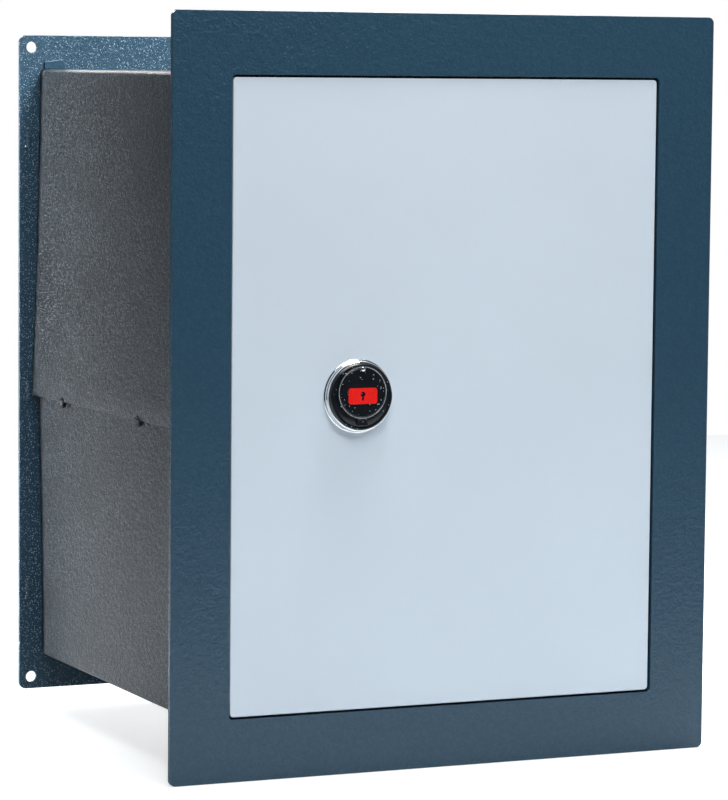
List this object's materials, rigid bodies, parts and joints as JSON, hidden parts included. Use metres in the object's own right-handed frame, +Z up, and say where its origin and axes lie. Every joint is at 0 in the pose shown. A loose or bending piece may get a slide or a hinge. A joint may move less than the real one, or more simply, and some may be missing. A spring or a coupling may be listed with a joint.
{
  "type": "wall safe",
  "caption": "Recessed wall safe: steel frame and flush key-lock door, folded sheet body, rear fixing plate, sliding bolts and a swinging keyhole cover.",
  "frame": {"origin": "centre of the rear plate's four fixing holes, on that plate's back face", "axes": "+X to the right seen from the front, +Y into the wall, +Z up; the door faces -Y"},
  "size_m": [0.392, 0.322, 0.5],
  "materials": {
    "frame_paint": "textured blue-grey powder coat",
    "body_paint": "textured dark grey powder coat",
    "door_paint": "smooth satin light blue-grey enamel",
    "raw_steel": "mill finish mild steel",
    "hard_steel": "hardened dark steel",
    "ground_steel": "ground and nickel plated",
    "black_screw": "black oxide",
    "lock_brass": "milled brass",
    "bronze": "sintered bronze",
    "ring_chrome": "polished chrome",
    "cover_black": "glossy black enamel",
    "emblem_red": "glossy red fill",
    "mat_felt": "grey needle felt"
  },
  "bodies": {
    "body": {"front_frame": "frame_paint", "upper_shell": "body_paint", "lower_shell": "body_paint", "rear_plate": "frame_paint", "roof_tabs": "frame_paint", "seam_welds": "body_paint", "flange_welds": "frame_paint", "strike_plate": "body_paint", "door_stops": "body_paint", "hinge_brackets": "body_paint", "hinge_pins": "ground_steel", "hinge_washers": "bronze", "shelf": "frame_paint", "shelf_brackets": "body_paint", "floor_mat": "mat_felt"},
    "door": {"door_plate": "door_paint", "hinge_knuckles": "raw_steel", "dog_bolts": "ground_steel", "drill_plate": "hard_steel", "lock_case": "raw_steel", "lock_cover": "raw_steel", "lock_screws": "ground_steel", "lever_post": "ground_steel", "bolt_guides": "raw_steel", "back_cover": "door_paint", "cover_posts": "raw_steel", "cover_screws": "ground_steel", "escutcheon_ring": "ring_chrome", "escutcheon_bezel": "cover_black", "escutcheon_screws": "ground_steel", "cover_rivet": "ring_chrome"},
    "bolt_work": {"bolt_bar": "raw_steel", "locking_bolts": "ground_steel", "bolt_screws": "black_screw", "lock_bolt": "lock_brass", "bolt_stump": "ground_steel"},
    "curtain": {"lock_curtain": "lock_brass"},
    "lever_pack": {"levers": "lock_brass", "lever_springs": "ground_steel"},
    "cover": {"keyhole_cover": "cover_black", "cover_emblem": "emblem_red"}
  },
  "joints": [
    {"name": "door_hinge", "type": "hinge", "parent": "body", "child": "door", "pos_m": [0.105, -0.292, 0], "axis": [0, 0, 1], "range_deg": [0, 100]},
    {"name": "lock_turn", "type": "hinge", "parent": "door", "child": "curtain", "pos_m": [-0.0654, -0.3, 0], "axis": [0, 1, 0], "range_deg": [0, 360]},
    {"name": "bolt_slide", "type": "slide", "parent": "door", "child": "bolt_work", "axis": [-1, 0, 0], "range_m": [0, 0.015]},
    {"name": "lever_lift", "type": "hinge", "parent": "door", "child": "lever_pack", "pos_m": [-0.039, -0.285, 0.019], "axis": [0, 1, 0], "range_deg": [0, 3], "stiffness_Nm_per_rad": 0.05, "springref_deg": -45.84},
    {"name": "cover_swing", "type": "hinge", "parent": "door", "child": "cover", "pos_m": [-0.0654, -0.321, 0.0185], "axis": [0, 1, 0], "range_deg": [-120, 120]}
  ],
  "couplings": [
    {"joint": "bolt_slide", "follows": "lock_turn", "m_per_rad": 0.0023873}
  ]
}
